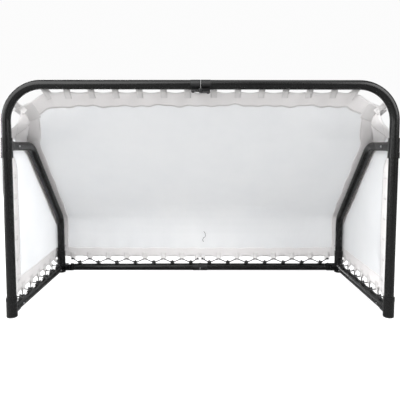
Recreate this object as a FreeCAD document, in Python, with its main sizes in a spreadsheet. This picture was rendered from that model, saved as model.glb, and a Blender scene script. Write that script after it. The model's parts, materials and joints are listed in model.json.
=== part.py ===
import FreeCAD, Part
import math
import os
import re

import Sketcher
from FreeCAD import Placement, Rotation, Vector

# Folding steel hockey goal. Millimetres, +Z up, X across the mouth, Y from the mouth to the back.
# The origin is on the floor at the centre of the goal's box, and the mouth faces -Y.

SIZES = {
    "post_spacing": (1562, "axis to axis of the two posts"),
    "top_axis": (951, "height of the crossbar's axis"),
    "depth": (662, "post axis to rear corner axis"),
    "base_axis": (30, "height of the base bars' axis"),
    "tube_dia": (38, "steel tube, outside"),
    "tube_wall": (1.5, "steel tube wall"),
    "corner_bend": (145, "bend radius at the top corners, to the axis"),
    "side_bend": (90, "bend radius of the side tubes, to the axis"),
    "running_gap": (0.08, "radial play of a turning or sliding fit"),
    "body_gap": (0.3, "axial play between pieces that turn on each other"),
    "sleeve_dia": (44, "outside of tees, feet and rear corners"),
    "spigot_wall": (2.5, "wall of the spigots that fill the tube ends"),
    "branch_dia": (43, "outside of the stubs that leave a fitting's sleeve sideways"),
    "stub_reach": (44, "fitting axis to the end of its stub"),
    "spigot_reach": (110, "fitting axis to the end of its spigot"),
    "button_reach": (76, "fitting axis to its snap button"),
    "collar_dia": (46, "outside of the rings on the posts"),
    "tee_low": (682, "underside of the tee sleeve"),
    "tee_high": (740, "top of the tee sleeve"),
    "tee_axis": (706, "height of the tee's stub"),
    "post_joint": (711, "where the corner tube stands on the lower post"),
    "swage_top": (785, "top of the lower post's reduced end"),
    "shoulder_height": (6, "height of the step inside the lower post, below its reduced end"),
    "tee_collar_low": (658, "underside of the ring below the tee"),
    "foot_high": (69, "top of the foot sleeve"),
    "foot_collar_high": (85, "top of the ring above the foot"),
    "cap_rim": (6, "thickness of a plastic cap under a fitting"),
    "cap_plug": (10, "depth of the cap's plug"),
    "cap_round": (4, "round on the cap's lower edge"),
    "cap_clearance": (2, "gap between the foot cap's plug and the post's end"),
    "rear_plug_dia": (30, "plug of the rear corner's cap"),
    "bore_floor": (4, "wall left between a fitting's sleeve and the bore of its spigot"),
    "upper_bend_depth": (253, "post axis to the corner of the side tube's upper bend"),
    "lower_bend_height": (303, "height of the corner of the side tube's lower bend"),
    "corner_high": (120, "top of the rear corner's upright sleeve"),
    "corner_spigot_high": (185, "top of the rear corner's upright spigot"),
    "corner_button_height": (150, "snap button above the rear corner"),
    "corner_bore_low": (60, "floor of the rear corner's upright bore"),
    "elbow_dia": (42, "outside of the rear corner's round elbow"),
    "elbow_reach": (38, "rear corner axis to the end of its round elbow, inboard"),
    "arm_root": (14, "rear corner axis to the root of the swivel's arm"),
    "slot_reach": (15, "swivel pin to the ends of the fork's slot"),
    "leaf_dia": (40, "outside of the hinge sleeves at the bars' centres"),
    "leaf_length": (40, "length of a hinge sleeve"),
    "centre_gap": (1, "gap between the two halves of a bar"),
    "front_pin_reach": (28, "crossbar axis to its hinge pin, forwards"),
    "rear_pin_reach": (33.5, "rear bar axis to its hinge pin, backwards"),
    "front_lug_round": (10, "round of the crossbar's hinge lugs about the pin"),
    "rear_lug_round": (9, "round of the rear bar's hinge lugs about the pin"),
    "front_pin_dia": (8, "crossbar hinge pin"),
    "front_head_dia": (13, "head of the crossbar's hinge pin"),
    "front_head_height": (3, "height of that head"),
    "front_peen_dia": (11, "peened top of the crossbar's hinge pin"),
    "front_peen_height": (2, "height of the peened top"),
    "front_block_inset": (12, "goal centre to the block under a crossbar sleeve"),
    "front_block_length": (26, "length of that block"),
    "front_block_width": (24, "width of that block"),
    "hinge_gap": (0.2, "gap between the crossbar's lug plates"),
    "rivet_place": (30, "goal centre to the rivet of a crossbar sleeve"),
    "rivet_hole_dia": (5.2, "hole for that rivet"),
    "rivet_dia": (5, "shank of that rivet"),
    "rivet_reach": (7, "how far its shank goes into the crossbar"),
    "rivet_head_dia": (10, "head of that rivet"),
    "rivet_head_height": (3, "height of that head"),
    "rear_pin_dia": (6, "rear bar hinge pin"),
    "rear_head_dia": (12, "heads of the rear bar's hinge pin"),
    "rear_head_height": (2.5, "height of those heads"),
    "rear_lug_length": (30, "length of the rear bar's lugs along the bar"),
    "rear_lug_root": (15, "rear bar axis to the root of its lugs"),
    "rear_tongue_height": (6, "height of the rear bar's tongue"),
    "rear_fork_height": (20, "height over the rear bar's fork"),
    "open_pivot_play": (3, "radial play in the rear bar's centre hinge"),
    "lug_plate": (4, "thickness of the crossbar's lug plates"),
    "swivel_inset": (60, "rear corner axis to the rear bar's swivel pin"),
    "swivel_round": (14, "round of the swivel's fork and tongue"),
    "swivel_pin_dia": (10, "swivel pin"),
    "swivel_head_dia": (16, "upper head of the swivel pin"),
    "swivel_head_height": (3, "height of the upper head"),
    "swivel_foot_dia": (14, "lower head of the swivel pin"),
    "swivel_foot_height": (2, "height of the lower head"),
    "tongue_height": (16, "height of the swivel's tongue"),
    "fork_height": (36, "height over the swivel's fork plates"),
    "rear_tube_inset": (76, "rear corner axis to the end of the rear tube"),
    "rear_plug_reach": (50, "length of the swivel's plug in the rear tube"),
    "button_dia": (8, "snap button"),
    "button_proud": (4, "how far a snap button stands out of the tube, and its travel"),
    "button_length": (11, "length of a snap button"),
    "button_leaf_length": (24, "the leaf that carries a snap button"),
    "button_leaf_thickness": (1, "thickness of that leaf"),
    "spring_thickness": (0.8, "strip of a snap button's spring"),
    "spring_width": (7, "width of that strip"),
    "spring_length": (26, "the spring's straight run along the far wall"),
    "spring_offset": (13.4, "tube axis to the middle of that run, outboard"),
    "spring_bend_offset": (1, "tube axis to the axis of the spring's bend, outboard"),
    "spring_bend_place": (16, "snap button to the axis of the spring's bend"),
    "hook_pitch": (104, "spacing of the hooks on the rear bar"),
    "side_hook_pitch": (98, "spacing of the hooks on the side base bars"),
    "side_hook_start": (85, "post axis to the first side hook"),
    "hook_base_length": (22, "base of a lacing hook, along its bar"),
    "hook_base_width": (12, "base of a lacing hook, across its bar"),
    "hook_base_height": (3, "height of that base"),
    "hook_stem_dia": (7, "stem of a lacing hook"),
    "hook_stem_top": (5, "how far the stem rises above the finger's axis"),
    "finger_lift": (32, "bar axis to the axis of a hook's finger"),
    "finger_dia": (6, "a hook's finger"),
    "finger_length": (15, "stem axis to the end of the finger"),
    "hook_stop_reach": (14, "stem axis to the stop's inner face"),
    "hook_stop_length": (20, "the stop at the finger's end, along the bar"),
    "hook_stop_height": (11, "height of that stop, half above the finger's axis"),
    "hook_stop_thickness": (2, "thickness of that stop"),
    "seat_gap": (0.02, "gap where one piece stands on another"),
    "peg_pitch": (98, "spacing of the net pegs behind the crossbar"),
    "peg_start": (53, "goal centre to the first net peg"),
    "peg_dia": (5, "stem of a net peg"),
    "peg_root": (16, "crossbar axis to the root of a peg, inside the tube's wall"),
    "peg_reach": (26, "crossbar axis to a peg's head"),
    "peg_head_dia": (11, "head of a net peg"),
    "peg_head_thickness": (2.5, "thickness of that head"),
    "cord_dia": (5, "elastic lacing cord"),
    "cord_arc": (6.8, "radius at which the cord turns, to its axis"),
    "cord_sway": (8, "bar axis to the cord, inboard at the hooks and outboard at the tabs"),
    "cord_drop": (7, "hook finger's axis to the cord below it"),
    "cord_start": (14, "goal centre to the end of the rear cord"),
    "cord_end_inset": (8, "how far the rear cord's outer end lies inside its tab"),
    "side_cord_end_inset": (10, "the same for the side cord's rear end"),
    "knot_dia": (11, "knots at the cords' ends"),
    "tab_height": (75, "height at which the hem's tabs hold the cord"),
    "net_thickness": (3, "net panels"),
    "net_offset": (23, "tube axis to the inner face of the net"),
    "net_front": (27, "post axis to the net's front edge"),
    "net_top": (925, "top edge of the net behind the crossbar"),
    "net_side_top": (854, "top edge of the net at the posts"),
    "net_low": (85, "lower edge of the net"),
    "net_corner_inset": (160, "post axis to the start of the net's cut corner"),
    "net_corner_run": (140, "how far across the cut corner falls to net_side_top"),
    "net_edge_gap": (1, "gap between the back panel's edge and a side panel"),
    "net_trim": (200, "size of the blocks that cut the net's corners"),
}
HOOKS_PER_HALF = 7
PEGS_PER_HALF = 7
HOOKS_PER_SIDE = 6

document = FreeCAD.newDocument("HockeyGoal")
sheet = document.addObject("Spreadsheet::Sheet", "Sizes")
for row, (alias, (value, note)) in enumerate(SIZES.items(), start=1):
    sheet.set(f"A{row}", note)
    sheet.set(f"B{row}", str(value))
    sheet.setAlias(f"B{row}", alias)
document.recompute()

ALIASES = re.compile(r"\b(" + "|".join(SIZES) + r")\b")
POST_Y = "((front_pin_reach + front_lug_round - depth - rear_pin_reach - rear_lug_round) / 2)"
REAR_Y = f"({POST_Y} + depth)"
SPIGOT_DIA = "(tube_dia - 2 * tube_wall - 2 * running_gap)"
SPIGOT_BORE = f"({SPIGOT_DIA} - 2 * spigot_wall)"
TURNING_BORE = "(tube_dia + 2 * running_gap)"
TUBE_BORE = "(tube_dia - 2 * tube_wall)"
# A snap button's place: its distance behind the post axis and its height.
TEE_BUTTON = ("button_reach", "tee_axis")
FOOT_BUTTON = ("button_reach", "base_axis")
BASE_BUTTON = ("depth - button_reach", "base_axis")
CORNER_BUTTON = ("depth", "corner_button_height")
SIDES = {"left": -1, "right": 1}
ALONG_X = Rotation(Vector(0, 1, 0), 90)
ALONG_Y = Rotation(Vector(1, 0, 0), -90)
ALONG_Z = Rotation()
nodes = {}


def formula(text):
    """A formula in the sheet's words, as an expression of the document."""
    return ALIASES.sub(r"Sizes.\1", str(text))


def size(text):
    """The value of a formula in the sheet's words."""
    values = {alias: sheet.get(alias) for alias in SIZES}
    terms = ALIASES.sub(lambda found: repr(float(values[found.group(1)])), str(text))
    return FreeCAD.Units.Quantity(sheet.evalExpression(terms)).Value


def bind(item, **formulas):
    for name, text in formulas.items():
        item.setExpression(name.replace("_", "."), formula(text))


def place(item, at, rotation=ALONG_Z):
    """Put an object at three formulas, turned by a rotation."""
    item.Placement = Placement(Vector(), rotation)
    bind(item, Placement_Base_x=at[0], Placement_Base_y=at[1], Placement_Base_z=at[2])
    return item


def cylinder(name, diameter, length, at, rotation=ALONG_Z):
    item = document.addObject("Part::Cylinder", name)
    bind(item, Radius=f"({diameter}) / 2", Height=length)
    return place(item, at, rotation)


def box(name, extent, at, rotation=ALONG_Z):
    item = document.addObject("Part::Box", name)
    bind(item, Length=extent[0], Width=extent[1], Height=extent[2])
    return place(item, at, rotation)


def fuse(name, *items):
    item = document.addObject("Part::MultiFuse", name)
    item.Shapes = list(items)
    return item


def cut(name, base, *tools):
    item = document.addObject("Part::Cut", name)
    item.Base = base
    item.Tool = tools[0] if len(tools) == 1 else fuse(name + "_tools", *tools)
    return item


def group(name, items):
    item = document.addObject("Part::Compound", name)
    item.Links = list(items)
    return item


def node(name, item):
    """Name the finished object of one sub-part."""
    item.Label = name
    nodes[name] = item
    return item


def tube(name, outside, inside, length, at, rotation=ALONG_Z):
    outer = cylinder(name + "_outer", outside, length, at, rotation)
    inner = cylinder(name + "_bore", inside, length, at, rotation)
    return cut(name, outer, inner)


def origin_plane(body, role):
    return next(plane for plane in body.Origin.OriginFeatures if plane.Role == role)


def add_sketch(body, name, role):
    sketch = body.newObject("Sketcher::SketchObject", name)
    sketch.AttachmentSupport = [(origin_plane(body, role), "")]
    sketch.MapMode = "FlatFace"
    return sketch


def drive(sketch, kind, arguments, name, text):
    """Add a named dimension to a sketch and bind it to a formula."""
    index = sketch.addConstraint(Sketcher.Constraint(kind, *arguments, size(text)))
    sketch.renameConstraint(index, name)
    sketch.setExpression("Constraints." + name, formula(text))


def ring_sketch(body, name, role, outside, inside):
    sketch = add_sketch(body, name, role)
    for word, diameter in (("outside", outside), ("inside", inside)):
        circle = Part.Circle(Vector(), Vector(0, 0, 1), size(diameter) / 2)
        index = sketch.addGeometry(circle, False)
        sketch.addConstraint(Sketcher.Constraint("Coincident", index, 3, -1, 1))
        drive(sketch, "Diameter", (index,), word, diameter)
    return sketch


def panel_sketch(body, name, role, corners):
    """A closed outline whose corners are pairs of positive formulas."""
    sketch = add_sketch(body, name, role)
    points = [Vector(size(across), size(up), 0) for across, up in corners]
    count = len(points)
    for index in range(count):
        sketch.addGeometry(Part.LineSegment(points[index], points[(index + 1) % count]), False)
    for index, (across, up) in enumerate(corners):
        sketch.addConstraint(Sketcher.Constraint("Coincident", index, 2, (index + 1) % count, 1))
        drive(sketch, "DistanceX", (-1, 1, index, 1), f"across{index}", across)
        drive(sketch, "DistanceY", (-1, 1, index, 1), f"up{index}", up)
    return sketch


def pad(body, sketch, length, midplane=False):
    feature = body.newObject("PartDesign::Pad", body.Name + "_pad")
    feature.Profile = sketch
    feature.SideType = "Symmetric" if midplane else "One side"
    bind(feature, Length=length)
    body.Tip = feature
    return feature


def swept_tube(body, spine, role):
    """A tube of the frame's section along a sketched spine, which leaves its first plane squarely."""
    profile = ring_sketch(body, body.Name + "_section", role, "tube_dia", "tube_dia - 2 * tube_wall")
    pipe = body.newObject("PartDesign::AdditivePipe", body.Name + "_pipe")
    pipe.Profile = profile
    pipe.Spine = spine
    body.Tip = pipe
    return pipe


def tangent(sketch, first, second):
    """Join the end of one piece of a spine to the start of the next, smoothly."""
    sketch.addConstraint(Sketcher.Constraint("Tangent", *first, *second))


def corner_tube(side, sign):
    """Half of the crossbar, its bend and the upper post, in one tube."""
    body = document.addObject("PartDesign::Body", f"corner_tube_{side}_body")
    spine = add_sketch(body, body.Name + "_spine", "XZ_Plane")
    rise = size("top_axis - post_joint")
    reach = size("(post_spacing - centre_gap) / 2")
    bend = size("corner_bend")
    centre = Vector(bend, rise - bend, 0)
    spine.addGeometry(Part.LineSegment(Vector(), Vector(0, rise - bend, 0)), False)
    turn = Part.ArcOfCircle(Part.Circle(centre, Vector(0, 0, 1), bend), math.pi / 2, math.pi)
    spine.addGeometry(turn, False)
    spine.addGeometry(Part.LineSegment(Vector(bend, rise, 0), Vector(reach, rise, 0)), False)
    spine.addConstraint(Sketcher.Constraint("Coincident", 0, 1, -1, 1))
    spine.addConstraint(Sketcher.Constraint("Vertical", 0))
    spine.addConstraint(Sketcher.Constraint("Horizontal", 2))
    tangent(spine, (0, 2), (1, 2))
    tangent(spine, (1, 1), (2, 1))
    drive(spine, "Radius", (1,), "bend", "corner_bend")
    drive(spine, "DistanceX", (-1, 1, 2, 2), "reach", "(post_spacing - centre_gap) / 2")
    drive(spine, "DistanceY", (-1, 1, 2, 2), "rise", "top_axis - post_joint")
    swept_tube(body, spine, "XY_Plane")
    turned = ALONG_Z if sign < 0 else Rotation(Vector(0, 0, 1), 180)
    place(body, (f"{sign} * post_spacing / 2", POST_Y, "post_joint"), turned)
    rivet_hole = cylinder(f"corner_tube_{side}_rivet_hole", "rivet_hole_dia", "leaf_dia / 2",
                          (f"{sign} * rivet_place", POST_Y, "top_axis - leaf_dia / 2"))
    return cut(f"corner_tube_{side}", body, rivet_hole)


def side_tube(side, sign):
    """The side tube: back from the tee, down the slope and down to the rear corner."""
    body = document.addObject("PartDesign::Body", f"side_tube_{side}_body")
    spine = add_sketch(body, body.Name + "_spine", "YZ_Plane")
    upper = Vector(size("upper_bend_depth - stub_reach - body_gap"), 0, 0)
    lower = Vector(size("depth - stub_reach - body_gap"), size("lower_bend_height - tee_axis"), 0)
    foot = Vector(lower.x, size("corner_high + body_gap - tee_axis"), 0)
    slope = (lower - upper).normalize()
    fall = math.atan2(-slope.y, slope.x)
    bend = size("side_bend")
    upper_trim = bend * math.tan(fall / 2)
    lower_trim = bend * math.tan((math.pi / 2 - fall) / 2)
    upper_centre = Vector(upper.x - upper_trim, -bend, 0)
    lower_centre = Vector(lower.x - bend, lower.y - lower_trim, 0)
    up = Vector(0, 0, 1)
    spine.addGeometry(Part.LineSegment(Vector(), upper - Vector(upper_trim, 0, 0)), False)
    spine.addGeometry(
        Part.ArcOfCircle(Part.Circle(upper_centre, up, bend), math.pi / 2 - fall, math.pi / 2), False)
    spine.addGeometry(
        Part.LineSegment(upper + slope * upper_trim, lower - slope * lower_trim), False)
    spine.addGeometry(
        Part.ArcOfCircle(Part.Circle(lower_centre, up, bend), 0, math.pi / 2 - fall), False)
    spine.addGeometry(Part.LineSegment(lower - Vector(0, lower_trim, 0), foot), False)
    spine.addGeometry(Part.Point(upper), True)
    spine.addGeometry(Part.Point(lower), True)
    spine.addConstraint(Sketcher.Constraint("Coincident", 0, 1, -1, 1))
    spine.addConstraint(Sketcher.Constraint("Horizontal", 0))
    spine.addConstraint(Sketcher.Constraint("Vertical", 4))
    tangent(spine, (0, 2), (1, 2))
    tangent(spine, (1, 1), (2, 1))
    tangent(spine, (2, 2), (3, 2))
    tangent(spine, (3, 1), (4, 1))
    for point, line in ((5, 0), (5, 2), (6, 2), (6, 4)):
        spine.addConstraint(Sketcher.Constraint("PointOnObject", point, 1, line))
    drive(spine, "Radius", (1,), "upper", "side_bend")
    drive(spine, "Radius", (3,), "lower", "side_bend")
    drive(spine, "DistanceX", (-1, 1, 5, 1), "level", "upper_bend_depth - stub_reach - body_gap")
    drive(spine, "DistanceX", (-1, 1, 4, 2), "reach", "depth - stub_reach - body_gap")
    drive(spine, "DistanceY", (6, 1, -1, 1), "fall", "tee_axis - lower_bend_height")
    drive(spine, "DistanceY", (4, 2, -1, 1), "drop", "tee_axis - corner_high - body_gap")
    swept_tube(body, spine, "XZ_Plane")
    place(body, (f"{sign} * post_spacing / 2", f"{POST_Y} + stub_reach + body_gap", "tee_axis"))
    return cut(f"side_tube_{side}", body,
               button_hole(f"side_tube_{side}_hole", sign, TEE_BUTTON),
               button_hole(f"side_tube_{side}_low_hole", sign, CORNER_BUTTON))


def button_hole(name, sign, where):
    """A hole through the inboard wall at a snap button's place."""
    length = "sleeve_dia / 2"
    low = f"{sign} * post_spacing / 2" if sign < 0 else "post_spacing / 2 - sleeve_dia / 2"
    at = (low, f"{POST_Y} + {where[0]}", where[1])
    return cylinder(name, "button_dia + 2 * running_gap", length, at, ALONG_X)


def axis_x(sign):
    return f"{sign} * post_spacing / 2"


def tee(side, sign):
    """The fitting that turns on the post and carries the side tube."""
    name = f"tee_{side}"
    post_axis = (axis_x(sign), POST_Y, "tee_low + body_gap")
    stub_axis = (axis_x(sign), POST_Y, "tee_axis")
    solid = fuse(name + "_solid",
                 cylinder(name + "_sleeve", "sleeve_dia", "tee_high - tee_low - body_gap", post_axis),
                 cylinder(name + "_stub", "branch_dia", "stub_reach", stub_axis, ALONG_Y),
                 cylinder(name + "_spigot", SPIGOT_DIA, "spigot_reach", stub_axis, ALONG_Y))
    hollow = (axis_x(sign), f"{POST_Y} + sleeve_dia / 2 + bore_floor", "tee_axis")
    return cut(name, solid,
               cylinder(name + "_bore", TURNING_BORE, "tee_high", (axis_x(sign), POST_Y, "0")),
               cylinder(name + "_hollow", SPIGOT_BORE, "spigot_reach", hollow, ALONG_Y),
               button_hole(name + "_button_hole", sign, TEE_BUTTON))


def foot_sleeve(side, sign):
    """The fitting in which the post's foot turns, with the base bar's spigot."""
    name = f"foot_sleeve_{side}"
    post_axis = (axis_x(sign), POST_Y, "cap_rim")
    stub_axis = (axis_x(sign), POST_Y, "base_axis")
    solid = fuse(name + "_solid",
                 cylinder(name + "_sleeve", "sleeve_dia", "foot_high - cap_rim", post_axis),
                 cylinder(name + "_stub", "branch_dia", "stub_reach", stub_axis, ALONG_Y),
                 cylinder(name + "_spigot", SPIGOT_DIA, "spigot_reach", stub_axis, ALONG_Y))
    hollow = (axis_x(sign), f"{POST_Y} + sleeve_dia / 2 + bore_floor", "base_axis")
    return cut(name, solid,
               cylinder(name + "_bore", TURNING_BORE, "foot_high", (axis_x(sign), POST_Y, "0")),
               cylinder(name + "_hollow", SPIGOT_BORE, "spigot_reach", hollow, ALONG_Y),
               button_hole(name + "_button_hole", sign, FOOT_BUTTON))


def rear_corner(side, sign):
    """The rear corner: upright sleeve, base spigot and the fork of the rear bar's swivel."""
    name = f"rear_corner_{side}"
    inward = -sign
    foot = (axis_x(sign), REAR_Y, "cap_rim")
    forward = Rotation(Vector(1, 0, 0), 90)
    inboard = Rotation(Vector(0, 1, 0), 90 * inward)
    centre = (axis_x(sign), REAR_Y, "base_axis")
    pin = (f"{sign} * (post_spacing / 2 - swivel_inset)", REAR_Y, "base_axis - fork_height / 2")
    arm_low = "post_spacing / 2 - swivel_inset" if sign > 0 else "-post_spacing / 2 + arm_root"
    arm = box(name + "_arm", ("swivel_inset - arm_root", "2 * swivel_round", "fork_height"),
              (arm_low, f"{REAR_Y} - swivel_round", "base_axis - fork_height / 2"))
    slot = box(name + "_slot", ("2 * slot_reach", "sleeve_dia", "tongue_height + 2 * body_gap"),
               (f"{pin[0]} - slot_reach", f"{REAR_Y} - sleeve_dia / 2",
                "base_axis - tongue_height / 2 - body_gap"))
    solid = fuse(name + "_solid",
                 cylinder(name + "_sleeve", "sleeve_dia", "corner_high - cap_rim", foot),
                 cylinder(name + "_upright", SPIGOT_DIA, "corner_spigot_high - cap_rim", foot),
                 cylinder(name + "_stub", "branch_dia", "stub_reach", centre, forward),
                 cylinder(name + "_spigot", SPIGOT_DIA, "spigot_reach", centre, forward),
                 cylinder(name + "_elbow", "elbow_dia", "elbow_reach", centre, inboard),
                 arm,
                 cylinder(name + "_fork", "2 * swivel_round", "fork_height", pin))
    return cut(name, solid, slot,
               cylinder(name + "_pin_hole", "swivel_pin_dia + 2 * running_gap", "2 * base_axis",
                        (pin[0], pin[1], "0")),
               cylinder(name + "_cap_socket", "rear_plug_dia", "cap_plug", foot),
               cylinder(name + "_upright_bore", SPIGOT_BORE, "corner_spigot_high",
                        (axis_x(sign), REAR_Y, "corner_bore_low")),
               cylinder(name + "_base_bore", SPIGOT_BORE, "spigot_reach",
                        (axis_x(sign), f"{REAR_Y} - sleeve_dia / 2 - bore_floor", "base_axis"), forward),
               button_hole(name + "_base_button", sign, BASE_BUTTON),
               button_hole(name + "_corner_button", sign, CORNER_BUTTON))


def cap(name, x, y, plug_dia):
    """A plastic cap with a rounded rim and a plug that fills the fitting's end."""
    body = document.addObject("PartDesign::Body", name + "_body")
    rim = add_sketch(body, name + "_rim", "XY_Plane")
    rim.addGeometry(Part.Circle(Vector(), Vector(0, 0, 1), size("sleeve_dia") / 2), False)
    rim.addConstraint(Sketcher.Constraint("Coincident", 0, 3, -1, 1))
    drive(rim, "Diameter", (0,), "rim", "sleeve_dia")
    disc = pad(body, rim, "cap_rim")
    document.recompute()
    low = [f"Edge{index}" for index, edge in enumerate(disc.Shape.Edges, start=1)
           if edge.BoundBox.ZMax < 0.01]
    rounding = body.newObject("PartDesign::Fillet", name + "_round")
    rounding.Base = (disc, low)
    bind(rounding, Radius="cap_round")
    body.Tip = rounding
    place(body, (x, y, "0"))
    plug = cylinder(name + "_plug", plug_dia, "cap_plug", (x, y, "cap_rim"))
    return fuse(name, body, plug)


def lower_post(side, sign):
    """The lower post, with a reduced top end that fills the corner tube."""
    name = f"lower_post_{side}"
    low = "cap_rim + cap_plug + cap_clearance"
    step = "post_joint - shoulder_height"
    x = axis_x(sign)
    return fuse(name,
                tube(name + "_main", "tube_dia", TUBE_BORE, f"post_joint - ({low})", (x, POST_Y, low)),
                tube(name + "_shoulder", "tube_dia", SPIGOT_BORE, "shoulder_height", (x, POST_Y, step)),
                tube(name + "_swage", SPIGOT_DIA, SPIGOT_BORE, f"swage_top - ({step})", (x, POST_Y, step)))


def crossbar_leaf(side, sign):
    """Hinge sleeve on the crossbar's end: one lug plate on the left, two on the right."""
    name = f"crossbar_leaf_{side}"
    low_x = "-leaf_length" if sign < 0 else "centre_gap / 2"
    plate_length = "(front_block_inset + front_block_length)"
    plate_x = f"-{plate_length}" if sign < 0 else "0"
    block_x = plate_x if sign < 0 else "front_block_inset"
    block_depth = "(2 * lug_plate - hinge_gap)" if sign < 0 else "(3 * lug_plate)"
    face = "top_axis - leaf_dia / 2"
    pin_y = f"{POST_Y} - front_pin_reach"
    sunk = "front_head_height"
    pieces = [
        cylinder(name + "_sleeve", "leaf_dia", "leaf_length - centre_gap / 2",
                 (low_x, POST_Y, "top_axis"), ALONG_X),
        box(name + "_block", ("front_block_length", "front_block_width", f"{block_depth} + {sunk}"),
            (block_x, f"{POST_Y} - front_block_width / 2", f"{face} - {block_depth}"))]
    plates = {"tongue": ("lug_plate", "hinge_gap")} if sign < 0 else {
        "upper": ("0", "0"), "lower": ("2 * lug_plate", "0")}
    for word, (drop, gap) in plates.items():
        low = f"{face} - {drop} - lug_plate + {gap}"
        thick = f"lug_plate - 2 * {gap}"
        reach = "front_pin_reach + front_lug_round + front_block_width / 2"
        pieces.append(box(f"{name}_{word}", (plate_length, reach, thick),
                          (plate_x, f"{pin_y} - front_lug_round", low)))
        pieces.append(cylinder(f"{name}_{word}_eye", "2 * front_lug_round", thick, ("0", pin_y, low)))
    holes = [
        cylinder(name + "_bore", TURNING_BORE, "leaf_length", (low_x, POST_Y, "top_axis"), ALONG_X),
        cylinder(name + "_pin_hole", "front_pin_dia + 2 * running_gap", "leaf_dia",
                 ("0", pin_y, "top_axis - 1.5 * leaf_dia")),
        cylinder(name + "_rivet_hole", "rivet_hole_dia", "leaf_dia",
                 (f"{sign} * rivet_place", POST_Y, "top_axis - leaf_dia"))]
    return cut(name, fuse(name + "_solid", *pieces), *holes)


def crossbar_rivet(side, sign):
    """The rivet that holds a hinge sleeve on its tube, head down."""
    name = f"crossbar_rivet_{side}"
    drop = "(2 * lug_plate)" if sign < 0 else "(3 * lug_plate)"
    gap = "hinge_gap" if sign < 0 else "0"
    face = f"top_axis - leaf_dia / 2 - {drop}"
    x = f"{sign} * rivet_place"
    head = cylinder(name + "_head", "rivet_head_dia", "rivet_head_height",
                    (x, POST_Y, f"{face} - rivet_head_height + {gap}"))
    shank = cylinder(name + "_shank", "rivet_dia", f"{drop} + rivet_reach", (x, POST_Y, face))
    return fuse(name, head, shank)


def crossbar_pin():
    """The crossbar's hinge pin, with a head under the lugs and a peened top."""
    top = "top_axis - leaf_dia / 2"
    face = f"{top} - 3 * lug_plate"
    y = f"{POST_Y} - front_pin_reach"
    return fuse("crossbar_pin",
                cylinder("crossbar_pin_head", "front_head_dia", "front_head_height",
                         ("0", y, f"{face} - front_head_height")),
                cylinder("crossbar_pin_shank", "front_pin_dia", "3 * lug_plate + front_peen_height / 2",
                         ("0", y, face)),
                cylinder("crossbar_pin_peen", "front_peen_dia", "front_peen_height",
                         ("0", y, f"{top} + body_gap")))


def rear_leaf(side, sign):
    """Hinge sleeve on the rear bar's end: a fork on the left, a tongue on the right."""
    name = f"rear_leaf_{side}"
    low_x = "-leaf_length" if sign < 0 else "centre_gap / 2"
    lug_x = "-rear_lug_length" if sign < 0 else "0"
    pin_y = f"{REAR_Y} + rear_pin_reach"
    plate = "(rear_fork_height - rear_tongue_height) / 2 - body_gap"
    fork = {"lower": ("-rear_fork_height / 2", plate), "upper": ("rear_tongue_height / 2 + body_gap", plate)}
    tongue = {"tongue": ("-rear_tongue_height / 2", "rear_tongue_height")}
    pieces = [cylinder(name + "_sleeve", "leaf_dia", "leaf_length - centre_gap / 2",
                       (low_x, REAR_Y, "base_axis"), ALONG_X)]
    for word, (low, thick) in (fork if sign < 0 else tongue).items():
        pieces.append(box(f"{name}_{word}", ("rear_lug_length", "rear_pin_reach - rear_lug_root", thick),
                          (lug_x, f"{REAR_Y} + rear_lug_root", f"base_axis + {low}")))
        pieces.append(cylinder(f"{name}_{word}_eye", "2 * rear_lug_round", thick,
                               ("0", pin_y, f"base_axis + {low}")))
    play = "running_gap" if sign < 0 else "open_pivot_play"
    return cut(name, fuse(name + "_solid", *pieces),
               cylinder(name + "_bore", TURNING_BORE, "leaf_length",
                        (low_x, REAR_Y, "base_axis"), ALONG_X),
               cylinder(name + "_pin_hole", f"rear_pin_dia + 2 * {play}", "2 * base_axis",
                        ("0", pin_y, "0")))


def rear_pin():
    """The rear bar's centre pin, with a head above and below the fork."""
    y = f"{REAR_Y} + rear_pin_reach"
    low = "base_axis - rear_fork_height / 2"
    return fuse("rear_pin",
                cylinder("rear_pin_shank", "rear_pin_dia", "rear_fork_height", ("0", y, low)),
                cylinder("rear_pin_head", "rear_head_dia", "rear_head_height",
                         ("0", y, "base_axis + rear_fork_height / 2")),
                cylinder("rear_pin_foot", "rear_head_dia", "rear_head_height",
                         ("0", y, f"{low} - rear_head_height")))


def rear_eye(side, sign):
    """The swivel's tongue, with a plug that fills the rear tube's end."""
    name = f"rear_eye_{side}"
    inboard = Rotation(Vector(0, 1, 0), -90 * sign)
    pin_x = f"{sign} * (post_spacing / 2 - swivel_inset)"
    tube_x = f"{sign} * (post_spacing / 2 - rear_tube_inset)"
    run = "rear_tube_inset - swivel_inset"
    tongue_x = f"{pin_x} - ({run})" if sign > 0 else pin_x
    low = "base_axis - tongue_height / 2"
    solid = fuse(name + "_solid",
                 box(name + "_tongue", (run, "2 * swivel_round", "tongue_height"),
                     (tongue_x, f"{REAR_Y} - swivel_round", low)),
                 cylinder(name + "_round", "2 * swivel_round", "tongue_height", (pin_x, REAR_Y, low)),
                 cylinder(name + "_plug", SPIGOT_DIA, "rear_plug_reach", (tube_x, REAR_Y, "base_axis"),
                          inboard))
    return cut(name, solid,
               cylinder(name + "_pin_hole", "swivel_pin_dia + 2 * running_gap", "2 * base_axis",
                        (pin_x, REAR_Y, "0")))


def swivel_pin(side, sign):
    """The swivel's upright pin, with a head above and below the fork."""
    name = f"swivel_pin_{side}"
    x = f"{sign} * (post_spacing / 2 - swivel_inset)"
    high = "base_axis + fork_height / 2"
    low = "base_axis - fork_height / 2"
    return fuse(name,
                cylinder(name + "_shank", "swivel_pin_dia", "fork_height", (x, REAR_Y, low)),
                cylinder(name + "_head", "swivel_head_dia", "swivel_head_height", (x, REAR_Y, high)),
                cylinder(name + "_foot", "swivel_foot_dia", "swivel_foot_height",
                         (x, REAR_Y, f"{low} - swivel_foot_height")))


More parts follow.
